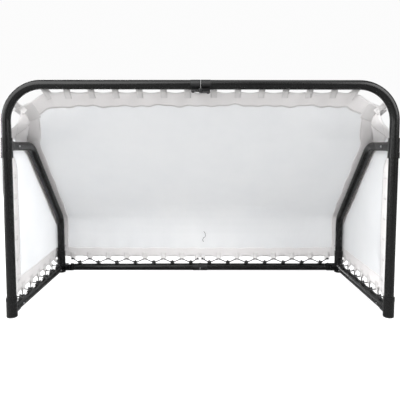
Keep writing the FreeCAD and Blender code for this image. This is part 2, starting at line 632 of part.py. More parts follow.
def snap_button(name, sign, where, upright=False):
    """A snap button on its flat leaf. It slides through the tube wall towards the goal's middle."""
    face = f"{sign} * (post_spacing / 2 - tube_dia / 2 - button_proud)"
    stem_low = face if sign > 0 else f"{face} - button_length"
    leaf_low = f"{face} + button_length" if sign > 0 else f"{stem_low} - button_leaf_thickness"
    y = f"{POST_Y} + {where[0]}"
    stem = cylinder(name + "_stem", "button_dia", "button_length", (stem_low, y, where[1]), ALONG_X)
    long_way, short_way = "button_leaf_length", "button_dia"
    depth, height = (short_way, long_way) if upright else (long_way, short_way)
    leaf = box(name + "_leaf", ("button_leaf_thickness", depth, height),
               (leaf_low, f"{y} - {depth} / 2", f"{where[1]} - {height} / 2"))
    return fuse(name, stem, leaf)


def button_spring(name, sign, where, upright=False):
    """The fixed leaf and the bend of a snap button's spring, inside the spigot."""
    y = f"{POST_Y} + {where[0]}"
    z = where[1]
    towards = -1 if where is BASE_BUTTON else 1
    run_x = f"{sign} * (post_spacing / 2 + spring_offset) - spring_thickness / 2"
    bend_x = f"{sign} * (post_spacing / 2 + spring_bend_offset)"
    outside = "2 * (spring_offset - spring_bend_offset) + spring_thickness"
    inside = "2 * (spring_offset - spring_bend_offset) - spring_thickness"
    past = "(spring_length - spring_bend_place)"
    across, deep = "sleeve_dia", "sleeve_dia / 2"
    if upright:
        run = box(name + "_run", ("spring_thickness", "spring_width", "spring_length"),
                  (run_x, f"{y} - spring_width / 2", f"{z} - {past}"))
        spot = (bend_x, f"{y} - spring_width / 2", f"{z} + spring_bend_place")
        ring = tube(name + "_ring", outside, inside, "spring_width", spot, ALONG_Y)
        keep = box(name + "_keep", (across, "2 * spring_width", deep),
                   (f"{bend_x} - {across} / 2", f"{y} - spring_width", spot[2]))
    else:
        start = f"{y} - {past}" if towards > 0 else f"{y} - spring_bend_place"
        run = box(name + "_run", ("spring_thickness", "spring_length", "spring_width"),
                  (run_x, start, f"{z} - spring_width / 2"))
        spot = (bend_x, f"{y} + {towards} * spring_bend_place", f"{z} - spring_width / 2")
        ring = tube(name + "_ring", outside, inside, "spring_width", spot)
        keep_low = spot[1] if towards > 0 else f"{spot[1]} - {deep}"
        keep = box(name + "_keep", (across, deep, "2 * spring_width"),
                   (f"{bend_x} - {across} / 2", keep_low, f"{z} - spring_width"))
    bend = document.addObject("Part::Common", name + "_bend")
    bend.Base = ring
    bend.Tool = keep
    return fuse(name, run, bend)


def hook(name, at, turn):
    """A lacing hook on top of a bar: a base, a stem, and a finger with a broad stop at its end.

    The stem stands a little above the finger, so that no two of its faces are tangent."""
    rotation = Rotation(Vector(0, 0, 1), turn)
    seat = f"{at[2]} + tube_dia / 2 + seat_gap"
    lift = f"{at[2]} + finger_lift"

    def turned_box(word, extent, front, low):
        """A box centred on the stem's axis along the bar, whose near face lies this far in front of it."""
        corner = rotation.multVec(Vector(-0.5, -1, 0))
        across, ahead = f"({corner.x:.1f})", f"({corner.y:.1f})"
        shift_x = f"{across} * {extent[0] if turn == 0 else front}"
        shift_y = f"{ahead} * {front if turn == 0 else extent[0]}"
        return box(f"{name}_{word}", extent, (f"{at[0]} + {shift_x}", f"{at[1]} + {shift_y}", low), rotation)

    return fuse(name,
                turned_box("base", ("hook_base_length", "hook_base_width", "hook_base_height"),
                           "hook_base_width / 2", seat),
                cylinder(name + "_stem", "hook_stem_dia",
                         "finger_lift + hook_stem_top - tube_dia / 2 - seat_gap", (at[0], at[1], seat)),
                cylinder(name + "_finger", "finger_dia", "finger_length", (at[0], at[1], lift),
                         rotation.multiply(Rotation(Vector(1, 0, 0), 90))),
                turned_box("stop", ("hook_stop_length", "hook_stop_thickness", "hook_stop_height"),
                           "(hook_stop_reach + hook_stop_thickness)", f"{lift} - hook_stop_height / 2"))


def hooks(name, spots, turn):
    """A row of hooks standing on their bar."""
    return group(name, [hook(f"{name}_{index}", spot, turn) for index, spot in enumerate(spots)])


def rear_hooks(side, sign):
    spots = [(f"{sign} * (hook_pitch * {index} + hook_pitch / 2)", REAR_Y, "base_axis")
             for index in range(HOOKS_PER_HALF)]
    return hooks(f"rear_hooks_{side}", spots, 0)


def side_hooks(side, sign):
    spots = [(axis_x(sign), f"{POST_Y} + side_hook_start + side_hook_pitch * {index}", "base_axis")
             for index in range(HOOKS_PER_SIDE)]
    return hooks(f"side_hooks_{side}", spots, -90 * sign)


def net_pegs(side, sign):
    """The mushroom pegs behind the crossbar that hold the net's tabs."""
    pegs = []
    for index in range(PEGS_PER_HALF):
        x = f"{sign} * (peg_start + peg_pitch * {index})"
        name = f"net_pegs_{side}_{index}"
        stem = cylinder(name + "_stem", "peg_dia", "peg_reach + peg_head_thickness / 2 - peg_root",
                        (x, f"{POST_Y} + peg_root", "top_axis"), ALONG_Y)
        head = cylinder(name + "_head", "peg_head_dia", "peg_head_thickness",
                        (x, f"{POST_Y} + peg_reach", "top_axis"), ALONG_Y)
        pegs.append(fuse(name, stem, head))
    bar = cylinder(f"net_pegs_{side}_bar", "tube_dia + 2 * seat_gap", "post_spacing / 2",
                   ("-post_spacing / 2" if sign < 0 else "0", POST_Y, "top_axis"), ALONG_X)
    return cut(f"net_pegs_{side}", group(f"net_pegs_{side}_row", pegs), bar)


def rounded_route(points, radius):
    """Straight runs through the points, joined by tangent arcs."""
    edges = []
    start = points[0]
    for before, corner, after in zip(points, points[1:], points[2:]):
        arriving = (corner - before).normalize()
        leaving = (after - corner).normalize()
        turn = arriving.getAngle(leaving)
        trim = radius * math.tan(turn / 2)
        enter = corner - arriving * trim
        leave = corner + leaving * trim
        inward = (leaving - arriving).normalize()
        middle = corner + inward * (radius / math.cos(turn / 2) - radius)
        edges.append(Part.LineSegment(start, enter).toShape())
        edges.append(Part.Arc(enter, middle, leave).toShape())
        start = leave
    edges.append(Part.LineSegment(start, points[-1]).toShape())
    return Part.Wire(edges)


def cord(name, points):
    """The elastic cord along its route, with a knot at each end."""
    section_radius = size("cord_dia / 2")
    arc = size("cord_arc")
    route = rounded_route(points, arc)
    heading = points[1] - points[0]
    section = Part.Wire([Part.makeCircle(section_radius, points[0], heading)])
    swept = route.makePipeShell([section], True, False)
    length = route.Length
    expected = math.pi * section_radius ** 2 * length
    print(f"{name}: length {length:.0f} mm, arcs {arc} mm, volume {swept.Volume / expected:.3f}")
    knots = [Part.makeSphere(size("knot_dia / 2"), point) for point in (points[0], points[-1])]
    item = document.addObject("Part::Feature", name)
    item.Shape = swept.fuse(knots).removeSplitter()
    return item


def zigzag(hook_points, tab_points):
    """Tab, hook, tab, hook ... and a last tab."""
    route = []
    for tab, held in zip(tab_points, hook_points):
        route += [tab, held]
    return route + [tab_points[-1]]


def rear_lacing(side, sign):
    y = size(REAR_Y)
    low = size("base_axis + finger_lift - cord_drop")
    high = size("tab_height")
    pitch = size("hook_pitch")
    sway = size("cord_sway")
    held = [Vector(sign * pitch * (index + 0.5), y - sway, low) for index in range(HOOKS_PER_HALF)]
    tabs = [Vector(sign * pitch * index, y + sway, high) for index in range(HOOKS_PER_HALF + 1)]
    tabs[0].x = sign * size("cord_start")
    tabs[-1].x -= sign * size("cord_end_inset")
    return cord(f"rear_lacing_{side}", zigzag(held, tabs))


def side_lacing(side, sign):
    x = sign * size("post_spacing / 2")
    low = size("base_axis + finger_lift - cord_drop")
    high = size("tab_height")
    first = size(f"{POST_Y} + side_hook_start")
    pitch = size("side_hook_pitch")
    sway = sign * size("cord_sway")
    held = [Vector(x - sway, first + pitch * index, low) for index in range(HOOKS_PER_SIDE)]
    tabs = [Vector(x + sway, first + pitch * (index - 0.5), high) for index in range(HOOKS_PER_SIDE + 1)]
    tabs[-1].y -= size("side_cord_end_inset")
    return cord(f"side_lacing_{side}", zigzag(held, tabs))


def net_profile():
    """The back panel's inner face, seen from the side: distance behind the posts and height."""
    fall = math.atan2(size("tee_axis - lower_bend_height"), size("depth - upper_bend_depth"))
    upper = (f"upper_bend_depth + net_offset * {math.tan(fall / 2):.5f}", "tee_axis + net_offset")
    lower = ("depth + net_offset",
             f"lower_bend_height + net_offset * {math.tan((math.pi / 2 - fall) / 2):.5f}")
    return upper, lower


def side_net(side, sign):
    upper, lower = net_profile()
    corners = [("net_front", "net_low"), (lower[0], "net_low"), lower, upper,
               ("net_front", "net_side_top")]
    body = document.addObject("PartDesign::Body", f"side_net_{side}")
    sketch = panel_sketch(body, body.Name + "_outline", "YZ_Plane", corners)
    pad(body, sketch, "net_thickness")
    x = "post_spacing / 2 + net_offset" if sign > 0 else "-post_spacing / 2 - net_offset - net_thickness"
    return place(body, (x, POST_Y, "0"))


def back_net():
    """The back panel: a bent sheet with its two top corners cut away.

    Its outer face lies one thickness out, so at each bend it turns a share of a thickness further on."""
    upper, lower = net_profile()
    skin = "net_thickness"
    at_bend = f"0.4 * {skin}"
    at_top = f"1.3 * {skin}"
    corners = [("net_front", "net_top"),
               upper,
               lower,
               (lower[0], "net_low"),
               (f"{lower[0]} + {skin}", "net_low"),
               (f"{lower[0]} + {skin}", f"{lower[1]} + {at_bend}"),
               (f"{upper[0]} + {at_bend}", f"{upper[1]} + {skin}"),
               ("net_front", f"net_top + {at_top}")]
    body = document.addObject("PartDesign::Body", "back_net_body")
    sketch = panel_sketch(body, "back_net_outline", "YZ_Plane", corners)
    pad(body, sketch, "post_spacing + 2 * net_offset - 2 * net_edge_gap", midplane=True)
    place(body, ("0", POST_Y, "0"))
    fall = math.atan2(size("net_top - net_side_top"), size("net_corner_run"))
    tilt = Rotation(Vector(0, 1, 0), math.degrees(fall))
    half_turn = Rotation(Vector(0, 0, 1), 180)
    reach = ("2 * net_trim", "net_trim", "net_trim")
    trims = [box("back_net_trim_right", reach,
                 ("post_spacing / 2 - net_corner_inset", POST_Y, "net_top"), tilt),
             box("back_net_trim_left", reach,
                 ("net_corner_inset - post_spacing / 2", f"{POST_Y} + net_trim", "net_top"),
                 half_turn.multiply(tilt))]
    return cut("back_net", body, *trims)


def build_side(side, sign):
    """Everything that the left and the right half of the goal have alike."""
    x = axis_x(sign)
    node(f"corner_tube_{side}", corner_tube(side, sign))
    node(f"lower_post_{side}", lower_post(side, sign))
    node(f"tee_collar_{side}", tube(f"tee_collar_{side}", "collar_dia", TURNING_BORE,
                                    "tee_low - tee_collar_low", (x, POST_Y, "tee_collar_low")))
    node(f"foot_collar_{side}", tube(f"foot_collar_{side}", "collar_dia", TURNING_BORE,
                                     "foot_collar_high - foot_high - body_gap",
                                     (x, POST_Y, "foot_high + body_gap")))
    node(f"tee_{side}", tee(side, sign))
    node(f"foot_sleeve_{side}", foot_sleeve(side, sign))
    node(f"foot_cap_{side}", cap(f"foot_cap_{side}", x, POST_Y, "tube_dia"))
    node(f"side_tube_{side}", side_tube(side, sign))
    node(f"base_tube_{side}", cut(
        f"base_tube_{side}",
        tube(f"base_tube_{side}_plain", "tube_dia", TUBE_BORE, "depth - 2 * stub_reach - 2 * body_gap",
             (x, f"{POST_Y} + stub_reach + body_gap", "base_axis"), ALONG_Y),
        button_hole(f"base_tube_{side}_front_hole", sign, FOOT_BUTTON),
        button_hole(f"base_tube_{side}_rear_hole", sign, BASE_BUTTON)))
    node(f"rear_corner_{side}", rear_corner(side, sign))
    node(f"rear_cap_{side}", cap(f"rear_cap_{side}", x, REAR_Y, "rear_plug_dia"))
    node(f"swivel_pin_{side}", swivel_pin(side, sign))
    node(f"rear_eye_{side}", rear_eye(side, sign))
    rear_low = "-post_spacing / 2 + rear_tube_inset" if sign < 0 else "centre_gap / 2"
    node(f"rear_tube_{side}", tube(f"rear_tube_{side}", "tube_dia", TUBE_BORE,
                                   "(post_spacing - centre_gap) / 2 - rear_tube_inset",
                                   (rear_low, REAR_Y, "base_axis"), ALONG_X))
    node(f"crossbar_leaf_{side}", crossbar_leaf(side, sign))
    node(f"crossbar_rivet_{side}", crossbar_rivet(side, sign))
    node(f"rear_leaf_{side}", rear_leaf(side, sign))
    node(f"rear_hooks_{side}", rear_hooks(side, sign))
    node(f"side_hooks_{side}", side_hooks(side, sign))
    node(f"net_pegs_{side}", net_pegs(side, sign))
    node(f"rear_lacing_{side}", rear_lacing(side, sign))
    node(f"side_lacing_{side}", side_lacing(side, sign))
    node(f"side_net_{side}", side_net(side, sign))
    springs = []
    for word, where in (("tee", TEE_BUTTON), ("foot", FOOT_BUTTON), ("base", BASE_BUTTON),
                        ("corner", CORNER_BUTTON)):
        upright = where is CORNER_BUTTON
        node(f"{word}_button_{side}", snap_button(f"{word}_button_{side}", sign, where, upright))
        springs.append(button_spring(f"{word}_spring_{side}", sign, where, upright))
    node(f"button_springs_{side}", group(f"button_springs_{side}", springs))


def main():
    for side, sign in SIDES.items():
        build_side(side, sign)
    node("crossbar_pin", crossbar_pin())
    node("rear_pin", rear_pin())
    node("back_net", back_net())
    document.recompute()
    for item in document.Objects:
        if "Invalid" in item.State or "Error" in item.State:
            raise RuntimeError(f"{item.Name} failed: {item.State}")
    for name, item in nodes.items():
        if item.Shape.isNull() or not item.Shape.isValid():
            raise RuntimeError(f"{name} has no valid shape")
    os.makedirs("parts", exist_ok=True)
    for name, item in nodes.items():
        item.Shape.exportStep(f"parts/{name}.step")
        print(f"{name}: {len(item.Shape.Solids)} solids, {item.Shape.Volume / 1000:.1f} cm3")
    print(len(nodes), "nodes")


main()
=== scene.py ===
import json
import math
import random

import bpy
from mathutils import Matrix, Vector


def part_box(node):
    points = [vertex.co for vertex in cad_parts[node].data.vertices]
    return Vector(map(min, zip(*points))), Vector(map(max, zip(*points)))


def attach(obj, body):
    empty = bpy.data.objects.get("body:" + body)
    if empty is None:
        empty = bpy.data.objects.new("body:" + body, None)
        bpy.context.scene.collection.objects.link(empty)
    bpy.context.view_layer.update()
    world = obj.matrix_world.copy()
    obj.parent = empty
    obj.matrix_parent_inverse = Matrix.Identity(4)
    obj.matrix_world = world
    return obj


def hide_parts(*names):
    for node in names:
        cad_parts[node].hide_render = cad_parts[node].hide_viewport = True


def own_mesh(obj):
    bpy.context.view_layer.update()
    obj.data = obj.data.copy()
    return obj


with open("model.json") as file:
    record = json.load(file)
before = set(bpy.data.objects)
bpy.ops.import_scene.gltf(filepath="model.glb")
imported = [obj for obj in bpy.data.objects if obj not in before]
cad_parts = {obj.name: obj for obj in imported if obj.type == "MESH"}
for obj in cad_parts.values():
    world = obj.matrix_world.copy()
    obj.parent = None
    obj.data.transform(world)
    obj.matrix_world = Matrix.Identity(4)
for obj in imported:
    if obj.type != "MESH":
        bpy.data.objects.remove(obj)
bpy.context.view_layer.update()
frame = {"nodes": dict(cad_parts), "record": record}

# The folding hockey goal: painted steel frame, white cloth net, black elastic lacing.
# Metres, in the CAD's frame: X across the mouth, Y from the mouth to the back, Z up.

SIDES = {"left": -1, "right": 1}


def middle(node):
    low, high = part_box(node)
    return (low + high) / 2


POST = middle("lower_post_right")
REAR = middle("rear_cap_right")
TUBE_RADIUS = (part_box("lower_post_right")[1].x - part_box("lower_post_right")[0].x) / 2
NET_LOW, NET_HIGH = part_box("back_net")
SIDE_PLANE = middle("side_net_right").x
TEE_AXIS = middle("tee_button_right").z

# Where the net hangs: heights, distances from the middle plane, and depths behind the post axes. A bend is a
# (depth, height) pair, where the cloth turns over a side tube.
OFF_TUBE = 0.0245
NET_FRONT = 0.030
NET_TOP = NET_HIGH.z - 0.004
HEM_LOW = NET_LOW.z + 0.001
UPPER_BEND = (0.262, TEE_AXIS + OFF_TUBE)
LOWER_BEND = (REAR.y - POST.y + OFF_TUBE, 0.313)
CORNER_START = POST.x - 0.160
SEAM_TOP_X = POST.x - 0.020
SEAM_TOP_Z = 0.854
SEAM_X = POST.x + 0.0225

# The cloth's thickness, the widths of its hems and bands, and the stitches. Each stitch covers a share of its
# step.
SKIN = 0.0009
TOP_HEM = 0.074
LOW_HEM = 0.052
BAND_WIDTH = 0.060
FRONT_BAND = 0.095
PATCH_WIDTH = 0.070
STITCH_RADIUS = 0.0005
STITCH_SHARE = 0.62

# What holds the net on each side of the goal: pegs behind the crossbar and hooks on the rear bar, from the
# middle outward, hooks on the base bar, from the post axis backward, and tabs up the post.
TAB_WIDTH = 0.026
TAB_THICKNESS = 0.0012
CORD_HEIGHT = 0.075
PEG_START = 0.053
PEG_PITCH = 0.098
PEG_COUNT = 7
HOOK_PITCH = 0.104
HOOK_COUNT = 7
SIDE_HOOK_START = 0.085
SIDE_HOOK_PITCH = 0.098
SIDE_HOOK_COUNT = 6
POST_TAB_LOW = 0.150
POST_TAB_HIGH = 0.640
POST_TAB_PITCH = 0.087


def clamp(value, low=0.0, high=1.0):
    return max(low, min(high, value))


def smooth(value):
    value = clamp(value)
    return value * value * (3 - 2 * value)


def mix(a, b, share):
    return a + (b - a) * share


# ---------------------------------------------------------------- materials


def new_material(name):
    material = bpy.data.materials.new(name)
    material.use_nodes = True
    nodes = material.node_tree.nodes
    return material, nodes, material.node_tree.links, nodes["Principled BSDF"]


def coordinates(nodes, links, scale=(1, 1, 1), rotation=(0, 0, 0)):
    source = nodes.new("ShaderNodeTexCoord")
    mapping = nodes.new("ShaderNodeMapping")
    mapping.inputs["Scale"].default_value = scale
    mapping.inputs["Rotation"].default_value = rotation
    links.new(source.outputs["Object"], mapping.inputs["Vector"])
    return mapping.outputs["Vector"]


def noise(nodes, links, vector, scale, detail=3.0, roughness=0.5):
    texture = nodes.new("ShaderNodeTexNoise")
    texture.inputs["Scale"].default_value = scale
    texture.inputs["Detail"].default_value = detail
    texture.inputs["Roughness"].default_value = roughness
    links.new(vector, texture.inputs["Vector"])
    return texture.outputs["Fac"]


def ramp(nodes, links, value, stops):
    """A colour ramp: stops are (position, colour) pairs."""
    node = nodes.new("ShaderNodeValToRGB")
    elements = node.color_ramp.elements
    while len(elements) < len(stops):
        elements.new(0.5)
    for element, (position, colour) in zip(elements, stops):
        element.position = position
        element.color = (*colour, 1)
    links.new(value, node.inputs["Fac"])
    return node.outputs["Color"]


def spread(nodes, links, value, low, high):
    """Map a 0 to 1 value to a range."""
    node = nodes.new("ShaderNodeMapRange")
    node.inputs["To Min"].default_value = low
    node.inputs["To Max"].default_value = high
    links.new(value, node.inputs["Value"])
    return node.outputs["Result"]


def bump(nodes, links, height, distance, strength, under=None):
    node = nodes.new("ShaderNodeBump")
    node.inputs["Distance"].default_value = distance
    node.inputs["Strength"].default_value = strength
    links.new(height, node.inputs["Height"])
    if under is not None:
        links.new(under, node.inputs["Normal"])
    return node.outputs["Normal"]


def wave(nodes, links, vector, direction, scale, distortion=0.0):
    texture = nodes.new("ShaderNodeTexWave")
    texture.bands_direction = direction
    texture.inputs["Scale"].default_value = scale
    texture.inputs["Distortion"].default_value = distortion
    links.new(vector, texture.inputs["Vector"])
    return texture.outputs["Fac"]


def arithmetic(nodes, links, operation, first, second):
    node = nodes.new("ShaderNodeMath")
    node.operation = operation
    for socket, value in zip(node.inputs, (first, second)):
        if isinstance(value, (int, float)):
            socket.default_value = value
        else:
            links.new(value, socket)
    return node.outputs["Value"]


def steel_paint():
    """Black stoved enamel: orange peel, faint dust and fine handling marks."""
    material, nodes, links, shader = new_material("black_enamel")
    vector = coordinates(nodes, links)
    cloudy = noise(nodes, links, vector, 9.0, 4.0)
    colour = ramp(nodes, links, cloudy, [(0.35, (0.0028, 0.0028, 0.0028)), (0.75, (0.0060, 0.0062, 0.0060))])
    links.new(colour, shader.inputs["Base Color"])
    marks = noise(nodes, links, coordinates(nodes, links, (12, 12, 2.5)), 30.0, 6.0, 0.7)
    links.new(spread(nodes, links, marks, 0.18, 0.36), shader.inputs["Roughness"])
    peel = noise(nodes, links, vector, 420.0, 2.0)
    links.new(bump(nodes, links, peel, 0.0002, 0.14), shader.inputs["Normal"])
    shader.inputs["Specular IOR Level"].default_value = 0.32
    return material


def worn_steel():
    """The hinge plates: black paint rubbed through to grey steel."""
    material, nodes, links, shader = new_material("worn_hinge_steel")
    rubbed = noise(nodes, links, coordinates(nodes, links), 75.0, 8.0, 0.72)
    colour = ramp(nodes, links, rubbed, [(0.56, (0.006, 0.006, 0.0065)), (0.72, (0.045, 0.045, 0.048))])
    links.new(colour, shader.inputs["Base Color"])
    links.new(spread(nodes, links, rubbed, 0.55, 0.3), shader.inputs["Roughness"])
    links.new(bump(nodes, links, rubbed, 0.0004, 0.4), shader.inputs["Normal"])
    shader.inputs["Metallic"].default_value = 0.25
    return material


def zinc():
    """Zinc plated snap buttons, pins and rivets."""
    material, nodes, links, shader = new_material("zinc_plate")
    vector = coordinates(nodes, links)
    spangle = noise(nodes, links, vector, 260.0, 3.0)
    colour = ramp(nodes, links, spangle, [(0.3, (0.34, 0.34, 0.35)), (0.7, (0.6, 0.6, 0.62))])
    links.new(colour, shader.inputs["Base Color"])
    links.new(spread(nodes, links, spangle, 0.24, 0.4), shader.inputs["Roughness"])
    links.new(bump(nodes, links, spangle, 0.0001, 0.3), shader.inputs["Normal"])
    shader.inputs["Metallic"].default_value = 1.0
    return material


def moulded_plastic():
    """Black moulded plastic with a fine spark-eroded grain."""
    material, nodes, links, shader = new_material("moulded_black")
    vector = coordinates(nodes, links)
    grain = noise(nodes, links, vector, 1400.0, 2.0)
    scuffs = noise(nodes, links, vector, 60.0, 5.0, 0.65)
    colour = ramp(nodes, links, scuffs, [(0.4, (0.010, 0.010, 0.010)), (0.8, (0.028, 0.028, 0.029))])
    links.new(colour, shader.inputs["Base Color"])
    links.new(spread(nodes, links, scuffs, 0.42, 0.62), shader.inputs["Roughness"])
    links.new(bump(nodes, links, grain, 0.0002, 0.35), shader.inputs["Normal"])
    return material


def braided_elastic():
    """Black braided elastic: two crossing sets of strands."""
    material, nodes, links, shader = new_material("braided_elastic")
    one = wave(nodes, links, coordinates(nodes, links, rotation=(0.5, 0.6, 0.7)), "X", 170.0, 1.5)
    other = wave(nodes, links, coordinates(nodes, links, rotation=(-0.5, -0.6, 0.7)), "Z", 170.0, 1.5)
    braid = arithmetic(nodes, links, "MAXIMUM", one, other)
    colour = ramp(nodes, links, braid, [(0.3, (0.006, 0.006, 0.006)), (0.95, (0.03, 0.03, 0.032))])
    links.new(colour, shader.inputs["Base Color"])
    links.new(bump(nodes, links, braid, 0.0008, 0.8), shader.inputs["Normal"])
    shader.inputs["Roughness"].default_value = 0.8
    shader.inputs["Sheen Weight"].default_value = 0.2
    return material


def net_cloth(name, light, dark, glow, weave_depth=0.0005):
    """Fine white knitted net: a small square weave, soft mottling and light that comes through."""
    material, nodes, links, shader = new_material(name)
    output = nodes["Material Output"]
    straight = coordinates(nodes, links)
    mottle = noise(nodes, links, straight, 5.0, 5.0, 0.6)
    colour = ramp(nodes, links, mottle, [(0.3, dark), (0.7, light)])
    across = wave(nodes, links, straight, "X", 150.0, 0.4)
    upwards = wave(nodes, links, straight, "Z", 150.0, 0.4)
    backwards = wave(nodes, links, straight, "Y", 150.0, 0.4)
    either = arithmetic(nodes, links, "MAXIMUM", upwards, backwards)
    grid = arithmetic(nodes, links, "MULTIPLY", across, either)
    creases = noise(nodes, links, coordinates(nodes, links, (1, 1, 0.35)), 26.0, 4.0, 0.55)
    weave = bump(nodes, links, grid, weave_depth, 0.35)
    normal = bump(nodes, links, creases, 0.004, 0.18, weave)
    links.new(colour, shader.inputs["Base Color"])
    links.new(normal, shader.inputs["Normal"])
    shader.inputs["Roughness"].default_value = 0.85
    shader.inputs["Sheen Weight"].default_value = 0.12
    through = nodes.new("ShaderNodeBsdfTranslucent")
    links.new(colour, through.inputs["Color"])
    links.new(normal, through.inputs["Normal"])
    blend = nodes.new("ShaderNodeMixShader")
    blend.inputs["Fac"].default_value = glow
    links.new(shader.outputs["BSDF"], blend.inputs[1])
    links.new(through.outputs["BSDF"], blend.inputs[2])
    links.new(blend.outputs["Shader"], output.inputs["Surface"])
    return material


MATERIALS = {
    "frame_steel": steel_paint(),
    "hinge_steel": worn_steel(),
    "button_steel": zinc(),
    "black_plastic": moulded_plastic(),
    "elastic_cord": braided_elastic(),
    "net_cloth": net_cloth("net_cloth", (0.945, 0.95, 0.955), (0.91, 0.918, 0.928), 0.45),
}
BAND_CLOTH = net_cloth("band_cloth", (0.99, 0.972, 0.968), (0.955, 0.932, 0.928), 0.2, 0.0007)
TAPE = net_cloth("tape_cloth", (0.90, 0.885, 0.88), (0.84, 0.822, 0.815), 0.15, 0.0009)
THREAD = net_cloth("thread", (0.62, 0.61, 0.61), (0.52, 0.515, 0.515), 0.05)


def dress_frame():
    """Give every CAD node the material of its slot."""
    for part in frame["record"]["subparts"]:
        mesh = frame["nodes"][part["node"]].data
        mesh.materials.clear()
        mesh.materials.append(MATERIALS[part["material_slot"]])
        for polygon in mesh.polygons:
            polygon.material_index = 0


# ---------------------------------------------------------------- meshes


def make_piece(name, points, faces, material):
    mesh = bpy.data.meshes.new(name)
    mesh.from_pydata([tuple(point) for point in points], [], faces)
    mesh.materials.append(material)
    for polygon in mesh.polygons:
        polygon.use_smooth = True
    mesh.update()
    piece = bpy.data.objects.new(name, mesh)
    bpy.context.scene.collection.objects.link(piece)
    return piece


def grid_faces(columns, rows, first=0):
    """Quads of a grid whose points run column by column."""
    faces = []
    for column in range(columns - 1):
        for row in range(rows - 1):
            corner = first + column * rows + row
            faces.append((corner, corner + rows, corner + rows + 1, corner + 1))
    return faces


def grid_piece(name, surface, columns, rows, material):
    """A sheet over a function of two shares, each from 0 to 1."""
    points = [surface(column / (columns - 1), row / (rows - 1))
              for column in range(columns) for row in range(rows)]
    return make_piece(name, points, grid_faces(columns, rows), material)


def thicken(piece, thickness):
    shell = piece.modifiers.new("thickness", "SOLIDIFY")
    shell.thickness = thickness
    shell.offset = 0
    return piece


def offset_surface(surface, lift):
    """The same surface, moved along its own normal."""
    step = 0.004

    def moved(across, down):
        here = surface(across, down)
        side = surface(min(across + step, 1), down) - surface(max(across - step, 0), down)
        fall = surface(across, min(down + step, 1)) - surface(across, max(down - step, 0))
        normal = side.cross(fall).normalized()
        return here + normal * lift

    return moved


class Tubes:
    """Thin round threads gathered into one mesh."""

    def __init__(self, radius, around=6):
        self.radius = radius
        self.around = around
        self.points = []
        self.faces = []

    def add(self, route):
        first = len(self.points)
        count = len(route)
        for index, point in enumerate(route):
            ahead = route[min(index + 1, count - 1)] - route[max(index - 1, 0)]
            ahead.normalize()
            sideways = ahead.orthogonal().normalized()
            upright = ahead.cross(sideways)
            for turn in range(self.around):
                angle = 2 * math.pi * turn / self.around
                spoke = sideways * math.cos(angle) + upright * math.sin(angle)
                self.points.append(point + spoke * self.radius)
        for index in range(count - 1):
            for turn in range(self.around):
                here = first + index * self.around + turn
                beside = first + index * self.around + (turn + 1) % self.around
                self.faces.append((here, beside, beside + self.around, here + self.around))
        self.faces.append(tuple(first + turn for turn in reversed(range(self.around))))
        last = first + (count - 1) * self.around
        self.faces.append(tuple(last + turn for turn in range(self.around)))

    def piece(self, name, material):
        return make_piece(name, self.points, self.faces, material)


# ---------------------------------------------------------------- the back net


def along(profile, share):
    """The point at a share of a profile's length."""
    lengths = [math.dist(a, b) for a, b in zip(profile, profile[1:])]
    left = clamp(share) * sum(lengths)
    for (a, b), length in zip(zip(profile, profile[1:]), lengths):
        if left <= length:
            return tuple(mix(p, q, left / length) for p, q in zip(a, b))
        left -= length
    return profile[-1]


def rounded(profile, share, reach):
    """The same point on the profile with its corners eased, over a reach either way."""
    shifts = (-1.0, -0.5, 0.0, 0.5, 1.0)
    fade = min(1.0, share / reach, (1 - share) / reach)
    found = [along(profile, share + shift * reach * fade) for shift in shifts]
    return tuple(sum(values) / len(found) for values in zip(*found))


# The back net in side view, at its seams and in the middle. No tube carries the middle, so it is slacker: its
# upper bend lies lower and its lower bend further forward.
SLACK_AT_HEM = 0.012
SEAM_PROFILE = [(NET_FRONT, SEAM_TOP_Z), UPPER_BEND, LOWER_BEND, (LOWER_BEND[0] - 0.004, HEM_LOW)]
MIDDLE_PROFILE = [(NET_FRONT, NET_TOP), (UPPER_BEND[0] - 0.004, UPPER_BEND[1] - 0.012),
                  (LOWER_BEND[0] - 0.045, LOWER_BEND[1] + 0.008), (LOWER_BEND[0] - SLACK_AT_HEM, HEM_LOW)]
CORNER_EASE = 0.018
MIDDLE_EASE = 0.09
BACK_LENGTH = sum(math.dist(a, b) for a, b in zip(MIDDLE_PROFILE, MIDDLE_PROFILE[1:]))

# The share of the seam's length above the upper bend, how far the seam sags inboard there, and the share of
# the half width at which the cloth reaches the side tube.
UPPER_SHARE = 0.255
SEAM_SLACK = 0.028
TUBE_EDGE = (POST.x - TUBE_RADIUS - 0.006) / SEAM_X

# How deep the swells and creases of the back net are, and over which shares of its length the puckers fade
# and the sewn edges lie flat. The swells push outward, square to the slope or to the upright part below it.
BROAD_SWELL = 0.0045
FINE_SWELL = 0.0022
PEG_PUCKER = 0.0035
HOOK_PUCKER = 0.0030
CORNER_CREASE = 0.0045
RISE_AT_PEG = 0.0022
DROP_AT_HOOK = 0.0025
PEG_PUCKER_REACH = 0.07
HOOK_PUCKER_REACH = 0.06
CREASE_REACH = 0.16
SEWN_EDGE = 0.012
SLOPE_TILT = math.radians(44)
UPRIGHT_TILT = math.radians(2)

# How far each layer lies off the back net's cloth. Below zero is towards the mouth.
HEM_LIFT = -0.0016
HEM_STITCH_LIFT = -0.0024
BAND_LIFT = -0.0013
BAND_STITCH_LIFT = -0.0022
PATCH_LIFT = -0.0028
THREAD_LIFT = -0.004

# Between which shares of the net's length the seam bands and the corner patches run.
BAND_SPAN = (0.028, 0.992)
PATCH_SPAN = (0.002, 0.085)


def seam_x(share):
    """How far out the seam lies: slack and inboard at the top, outside the side tube below its upper bend."""
    slack = SEAM_SLACK * math.sin(math.pi * clamp(share / UPPER_SHARE))
    return mix(SEAM_TOP_X, SEAM_X, smooth(share / UPPER_SHARE)) - slack


